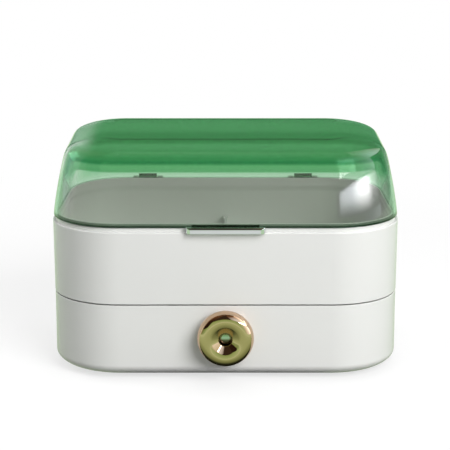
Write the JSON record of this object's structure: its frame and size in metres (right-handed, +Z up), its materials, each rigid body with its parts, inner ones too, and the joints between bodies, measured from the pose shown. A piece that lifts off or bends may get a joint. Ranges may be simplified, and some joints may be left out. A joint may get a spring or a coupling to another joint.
{
  "type": "lidded drawer organizer",
  "caption": "Two-tier tabletop organizer: clear domed lid hinged over a divided tray, with a wrap-front drawer below, a ring knob and a bar pull.",
  "frame": {"origin": "bottom centre of the overall box, on the surface the pads stand on", "axes": "+Z up, -Y out of the front with the knob, +X to the right seen from the front"},
  "size_m": [0.285, 0.2088, 0.1907],
  "materials": {
    "body": "glossy white moulded plastic",
    "lid_clear": "clear moulded plastic with a green cast",
    "divider_white": "satin white moulded plastic",
    "knob_gold": "mirror polished champagne gold plating",
    "knob_cap_chrome": "polished domed cap",
    "pull_chrome": "mirror polished",
    "steel": "zinc plated",
    "pad_rubber": "matte dark grey",
    "glide_plastic": "low friction strip"
  },
  "bodies": {
    "case": {"base_shell": "body", "foot_pads": "pad_rubber", "glide_strips": "glide_plastic", "tier_screws": "steel", "upper_tray": "body", "hinge_pins": "steel"},
    "lid": {"lid_shell": "lid_clear", "lid_pull": "pull_chrome", "pull_screws": "steel"},
    "drawer": {"drawer_box": "body", "drawer_front": "body", "panel_screws": "steel", "knob_ring": "knob_gold", "knob_cap": "knob_cap_chrome", "knob_washer": "steel", "knob_screw": "steel"},
    "long_divider": {"divider_long": "divider_white"},
    "front_left_divider": {"divider_front_left": "divider_white"},
    "front_right_divider": {"divider_front_right": "divider_white"},
    "rear_divider": {"divider_rear": "divider_white"}
  },
  "joints": [
    {"name": "lid_hinge", "type": "hinge", "parent": "case", "child": "lid", "pos_m": [0, 0.10115, 0.1274], "axis": [-1, 0, 0], "range_deg": [0, 100]},
    {"name": "drawer_slide", "type": "slide", "parent": "case", "child": "drawer", "axis": [0, -1, 0], "range_m": [0, 0.095]},
    {"name": "long_divider_lift", "type": "slide", "parent": "case", "child": "long_divider", "axis": [0, 0, 1], "range_m": [0, 0.03]},
    {"name": "front_left_divider_lift", "type": "slide", "parent": "case", "child": "front_left_divider", "axis": [0, 0, 1], "range_m": [0, 0.03]},
    {"name": "front_right_divider_lift", "type": "slide", "parent": "case", "child": "front_right_divider", "axis": [0, 0, 1], "range_m": [0, 0.03]},
    {"name": "rear_divider_lift", "type": "slide", "parent": "case", "child": "rear_divider", "axis": [0, 0, 1], "range_m": [0, 0.03]}
  ]
}
